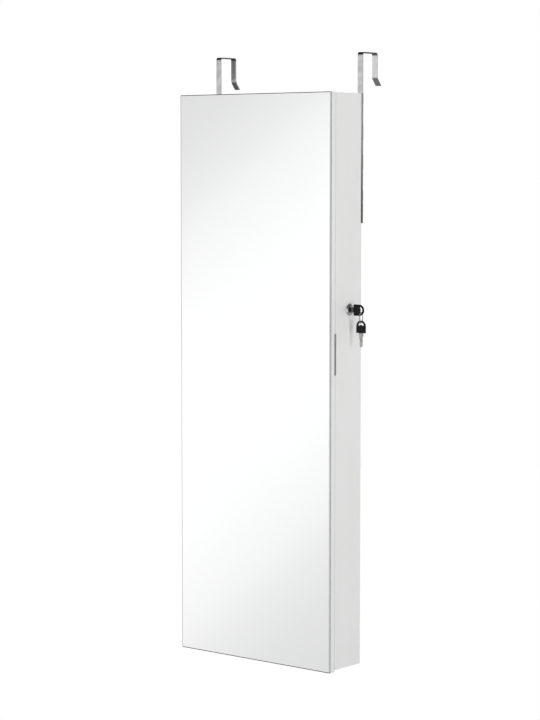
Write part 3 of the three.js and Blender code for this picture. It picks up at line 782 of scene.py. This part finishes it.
def steps(low, high, radius, pitch):
    """Coordinates along one side of a rounded block: close together at the round edges."""
    straight = high - low - 2 * radius
    count = max(1, round(straight / pitch))
    inner = [low + radius + straight * i / count for i in range(count + 1)]
    near = [low + part * radius for part in ROUND_AT]
    far = [high - part * radius for part in reversed(ROUND_AT)]
    return near + inner + far


def block_cage(axes):
    """The six gridded sides of a block, with one point at each crossing."""
    shape = bmesh.new()
    corners = {}

    def corner(index):
        if index not in corners:
            corners[index] = shape.verts.new([axes[a][index[a]] for a in range(3)])
        return corners[index]

    for a in range(3):
        b, c = (a + 1) % 3, (a + 2) % 3
        for end in (0, len(axes[a]) - 1):
            for i in range(len(axes[b]) - 1):
                for j in range(len(axes[c]) - 1):
                    loop = []
                    for u, v in ((i, j), (i + 1, j), (i + 1, j + 1), (i, j + 1)):
                        index = [0, 0, 0]
                        index[a], index[b], index[c] = end, u, v
                        loop.append(corner(tuple(index)))
                    shape.faces.new(loop)
    return shape


def rounded_block(low, high, radius, pitch, swell, wave, waves):
    """A block with round edges. Its faces swell in the middle and wander a little.

    swell: how far a face rises in its middle. wave: how far it wanders. waves: how often.
    """
    shape = block_cage([steps(low[a], high[a], radius, pitch) for a in range(3)])
    size = high - low
    for vert in shape.verts:
        core = Vector(min(max(vert.co[a], low[a] + radius), high[a] - radius) for a in range(3))
        out = (vert.co - core).normalized()
        middle = 1.0
        for a in range(3):
            part = (vert.co[a] - low[a]) / size[a]
            if abs(out[a]) < 0.5:
                middle *= math.sin(math.pi * part) ** 0.5 if 0 < part < 1 else 0
        drift = noise.noise(core * waves) * wave
        vert.co = core + out * (radius - swell - wave + swell * middle + drift)
    return shape


def soft_block(name, node, material, body, inset=0.0, **facts):
    """A padded piece that fills a CAD node's box, drawn in at its two x sides."""
    low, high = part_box(node)
    low.x += inset
    high.x -= inset
    obj = mesh_object(name, rounded_block(low, high, **facts), material, body)
    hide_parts(node)


# ---- Foam pads on the straps ----------------------------------------------------------------
PAD_INSET = 1.6 * MM
PAD = {
    "radius": 0.9 * MM,
    "pitch": 1.5 * MM,
    "swell": 0.12 * MM,
    "wave": 0.06 * MM,
    "waves": 420.0,
}
for side in ("left", "right"):
    for level in ("upper", "second", "third", "lower"):
        node = f"strap_pad_{side}_{level}"
        soft_block(f"foam_{side}_{level}", node, "pad_foam", "cabinet", PAD_INSET, **PAD)

# ---- Velvet over thin padding, on the back board and inside the door ------------------------
LINING = {"pitch": 9 * MM, "swell": 0.0, "wave": 0.10 * MM, "waves": 22.0}
BACK_RADIUS, DOOR_RADIUS = 0.8 * MM, 0.6 * MM
soft_block("velvet_back", "back_lining", "black_velvet", "cabinet", radius=BACK_RADIUS, **LINING)
soft_block("velvet_door", "door_lining", "black_velvet", "door", radius=DOOR_RADIUS, **LINING)

# ---- Ring rolls: velvet tubes stuffed with foam ---------------------------------------------
ROLLS = 8
ROLL_STEP = 3 * MM
ROLL_MARGIN = Vector((0.6, 0.0, 0.25)) * MM
ROLL_HEADROOM = 0.9 * MM
ROLL_GAP = 0.05 * MM
ROLL_SWELL = 1.6 * MM
ROLL_GLUED = 0.2 * MM
ROLL_ENDS = (0.82, 0.93, 0.98)  # how much smaller the first rings at each end are
ROLL_ARC = 10  # faces round the front of the D, then along each straight side and behind
ROLL_SIDE = 4
CREASE_DEPTH = 0.035
CREASES = Vector((60, 90, 90))  # per metre
CREASE_STEP = Vector((0, 7, 0))  # so that no two rolls crease alike
CLOTH_FRAMES = 20
CLOTH = {
    "mass": 0.1,
    "use_pressure": True,
    "uniform_pressure_force": 4,
    "tension_stiffness": 12,
    "compression_stiffness": 12,
    "shear_stiffness": 5,
    "bending_stiffness": 0.4,
    "quality": 5,
}


def roll_profile(low, high):
    """A D: round in front, flat behind."""
    half = (high.z - low.z) / 2
    middle = (high.z + low.z) / 2
    straight = high.y - low.y - half
    turns = [math.pi / 2 + math.pi * i / ROLL_ARC for i in range(ROLL_ARC + 1)]
    arc = [(low.y + half + half * math.cos(t), middle + half * math.sin(t)) for t in turns]
    along = [low.y + half + straight * i / ROLL_SIDE for i in range(1, ROLL_SIDE)]
    below = [(y, low.z) for y in along]
    up = [low.z + (high.z - low.z) * i / ROLL_SIDE for i in range(ROLL_SIDE + 1)]
    behind = [(high.y, z) for z in up]
    above = [(y, high.z) for y in reversed(along)]
    return arc + below + behind + above


def roll_shape(low, high, number):
    """One roll before it is stuffed: a slightly slack tube with closed ends and soft creases."""
    shape = bmesh.new()
    middle = (high.z + low.z) / 2
    profile = roll_profile(low, high)
    count = round((high.x - low.x) / ROLL_STEP)
    rings = []
    for i in range(count + 1):
        x = low.x + (high.x - low.x) * i / count
        end = min(i, count - i)
        pull = ROLL_ENDS[end] if end < len(ROLL_ENDS) else 1.0
        ring = []
        for y, z in profile:
            seed = Vector((x, y, z)) * CREASES + CREASE_STEP * number
            size = pull * (1 - CREASE_DEPTH * (0.5 + 0.5 * noise.noise(seed)))
            place = (x, high.y + (y - high.y) * size, middle + (z - middle) * size)
            ring.append(shape.verts.new(place))
        rings.append(ring)
    for one, two in zip(rings, rings[1:]):
        join_rings(shape, one, two)
    for ring in (rings[0], rings[-1]):
        centre = sum((v.co for v in ring), Vector()) / len(ring)
        inner = [shape.verts.new(centre + (v.co - centre) * 0.5) for v in ring]
        tip = shape.verts.new(centre)
        join_rings(shape, ring, inner)
        for one, two in zip(inner, inner[1:] + inner[:1]):
            shape.faces.new((one, two, tip))
    return shape


def stuff(obj, low, high):
    """Swells a closed mesh by cloth under inner pressure, and keeps it inside its box."""
    rest = [v.co.copy() for v in obj.data.vertices]
    glued = obj.vertex_groups.new(name="glued")
    at_back = [v.index for v in obj.data.vertices if v.co.y > high.y - ROLL_GLUED]
    glued.add(at_back, 1.0, "REPLACE")
    cloth = obj.modifiers.new("cloth", "CLOTH")
    for key, value in CLOTH.items():
        setattr(cloth.settings, key, value)
    cloth.settings.vertex_group_mass = glued.name
    cloth.settings.effector_weights.gravity = 0
    cloth.collision_settings.use_collision = False
    cloth.point_cache.frame_start, cloth.point_cache.frame_end = 1, CLOTH_FRAMES
    for number in range(1, CLOTH_FRAMES + 1):
        scene.frame_set(number)
    swollen = obj.evaluated_get(bpy.context.evaluated_depsgraph_get()).data
    moved = [v.co.copy() for v in swollen.vertices]
    obj.modifiers.remove(cloth)
    scene.frame_set(1)
    for vert, start, end in zip(obj.data.vertices, rest, moved):
        step = end - start
        if step.length > ROLL_SWELL:
            step *= ROLL_SWELL / step.length
        place = start + step
        vert.co = [min(max(place[a], low[a]), high[a]) for a in range(3)]
    obj.data.update()


def make_rolls():
    low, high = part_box("ring_cushion")
    pitch = (high.z - low.z) / ROLLS
    gap = Vector((0, 0, ROLL_GAP))
    for i in range(ROLLS):
        base = Vector((low.x, low.y, low.z + i * pitch))
        top = Vector((high.x, high.y, low.z + (i + 1) * pitch))
        slack = base + ROLL_MARGIN + Vector((0, ROLL_HEADROOM, 0)), top - ROLL_MARGIN
        shape = roll_shape(*slack, i)
        roll = mesh_object(f"ring_roll_{i + 1}", shape, "ring_velvet", "cabinet")
        stuff(roll, base + gap, top - gap)
        finer = roll.modifiers.new("finer", "SUBSURF")
        finer.levels = finer.render_levels = 1
    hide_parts("ring_cushion")


make_rolls()

# ---- Split ring -----------------------------------------------------------------------------
RING_TURNS = 2
RING_SEGMENTS = 64
RING_SIDES = 10
RING_START = 0.6
RING_WIRE = 0.42 * MM
RING_FLATTENED = 1.35
RING_MARGIN = 0.75 * MM
RING_SHIFT = 0.43 * MM
RING_CROSSING = (0.93, 0.14)  # the turn at which one turn starts to pass to the next, and its part


def make_split_ring():
    """Two turns of flattened wire side by side, with a step where one passes to the next."""
    low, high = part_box("key_ring")
    centre = (low + high) / 2
    radius = (high.z - low.z) / 2 - RING_MARGIN
    axis = Vector(JOINTS["ring_swing"]["axis"]).normalized()
    up = Vector((0, 0, 1))
    across = axis.cross(up).normalized()
    start, part = RING_CROSSING
    shape = bmesh.new()
    rings = []
    for i in range(RING_SEGMENTS * RING_TURNS + 1):
        turn = i / RING_SEGMENTS
        angle = 2 * math.pi * turn + RING_START
        out = across * math.cos(angle) + up * math.sin(angle)
        step = min(max((turn - start) / part, 0), 1)
        shift = RING_SHIFT * (2 * step * step * (3 - 2 * step) - 1)
        middle = centre + out * radius + axis * shift
        ring = []
        for j in range(RING_SIDES):
            a = 2 * math.pi * j / RING_SIDES
            flattened = out * math.cos(a) * RING_WIRE * RING_FLATTENED
            ring.append(shape.verts.new(middle + flattened + axis * math.sin(a) * RING_WIRE))
        rings.append(ring)
    shape.faces.new(rings[0])
    for one, two in zip(rings, rings[1:]):
        join_rings(shape, one, two)
    shape.faces.new(rings[-1])
    obj = mesh_object("split_ring", shape, "key_steel", "ring")
    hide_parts("key_ring")


make_split_ring()

# ---- Small screws ---------------------------------------------------------------------------
SCREW_SIDES = 28
RECESS = 0.62  # of the head's radius
RECESS_ARM = 0.30  # half the width of the cross's arms, of the recess
RECESS_FLOOR = (0.8, 0.25)  # of the recess's size and of the head's height
# Rings of the dome from its foot up: parts of the head's radius and of its height.
DOME_RINGS = ((1.0, 0.0), (1.0, 0.3), (0.86, 0.75), (0.68, 1.0))


def screw_head(shape, centre, out, radius, dome):
    """A domed head with a cross recess, standing on a surface whose normal is out."""
    side = out.orthogonal().normalized()
    other = out.cross(side)
    cross = radius * RECESS
    arm = cross * RECESS_ARM

    def ring(reach, height, crossed=False):
        """Points on a circle, or the same number of points round a cross."""
        points = []
        for i in range(SCREW_SIDES):
            a = 2 * math.pi * i / SCREW_SIDES
            x, y = math.cos(a), math.sin(a)
            scale = reach
            if crossed:
                long, short = max(abs(x), abs(y)), min(abs(x), abs(y))
                scale = min(reach / long, arm / max(short, 1e-9))
            place = centre + (side * x + other * y) * scale + out * height
            points.append(shape.verts.new(place))
        return points

    rings = [ring(radius * part, dome * height) for part, height in DOME_RINGS]
    rings.append(ring(cross, dome, crossed=True))
    part, height = RECESS_FLOOR
    rings.append(ring(cross * part, dome * height, crossed=True))
    shape.faces.new(rings[0])
    for one, two in zip(rings, rings[1:]):
        join_rings(shape, one, two)
    shape.faces.new(rings[-1])


def screws(name, body, places, out, radius, dome):
    shape = bmesh.new()
    for place in places:
        screw_head(shape, Vector(place), Vector(out), radius, dome)
    obj = mesh_object(name, shape, "fastener_steel", body, smooth=False)
    obj.modifiers.new("join", "NODES").node_group = JOIN_AND_SMOOTH


def spread(low, high, fractions):
    return [low + (high - low) * f for f in fractions]


# The necklace rail's bar, where its two screws go.
RAIL_MARGIN = 10 * MM
RAIL_PITCHES = 8
RAIL_DEPTH = 4 * MM
RAIL_Z = -128 * MM
# Radius and height of each kind of screw head.
HINGE_HEAD = (1.9 * MM, 0.22 * MM)
STRIKER_HEAD = (2.3 * MM, 1.0 * MM)
CATCH_HEAD = (2.2 * MM, 0.9 * MM)
NECKLACE_HEAD = (2.6 * MM, 1.1 * MM)
# Where the heads sit: parts of a piece's height, or distances from its upper edge.
HINGE_ROWS = (0.15, 0.5, 0.85)
CATCH_ROWS = (0.14, 0.86)
STRIKER_ROWS = (4.5 * MM, 13 * MM)
STRIKER_DEPTH = 2 * MM
HINGE_SETBACK = 4.6 * MM
PLATE_EDGE = 0.1 * MM


def make_hinge_screws():
    for level in ("lower", "middle", "upper"):
        for leaf, body, side in (("body_leaf", "cabinet", -1), ("door_leaf", "door", 1)):
            low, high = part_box(f"hinge_{level}_{leaf}")
            x = high.x - HINGE_SETBACK
            points = NODES[f"hinge_{level}_{leaf}"].data.vertices
            plate = [v.co.y for v in points if v.co.x > high.x - PLATE_EDGE]
            y = min(plate) if side < 0 else max(plate)
            places = [(x, y, z) for z in spread(low.z, high.z, HINGE_ROWS)]
            screws(f"hinge_screws_{level}_{leaf}", body, places, (0, side, 0), *HINGE_HEAD)


def make_other_screws():
    low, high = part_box("lock_striker")
    x, y = (low.x + high.x) / 2, low.y + STRIKER_DEPTH
    places = [(x, y, high.z - row) for row in STRIKER_ROWS]
    screws("striker_screws", "door", places, (0, 1, 0), *STRIKER_HEAD)

    low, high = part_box("magnetic_catch")
    y = (low.y + high.y) / 2
    places = [(low.x, y, z) for z in spread(low.z, high.z, CATCH_ROWS)]
    screws("catch_screws", "cabinet", places, (-1, 0, 0), *CATCH_HEAD)

    # Near both ends of the rail, clear of its hooks.
    low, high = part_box("necklace_rail")
    pitch = (high.x - low.x - 2 * RAIL_MARGIN) / RAIL_PITCHES
    y, z = high.y - RAIL_DEPTH, RAIL_Z
    first = low.x + RAIL_MARGIN + pitch / 2
    places = [(first + i * pitch, y, z) for i in (0, RAIL_PITCHES - 1)]
    screws("necklace_screws", "cabinet", places, (0, -1, 0), *NECKLACE_HEAD)


make_hinge_screws()
make_other_screws()

# ---- Last update ----------------------------------------------------------------------------
bpy.context.view_layer.update()
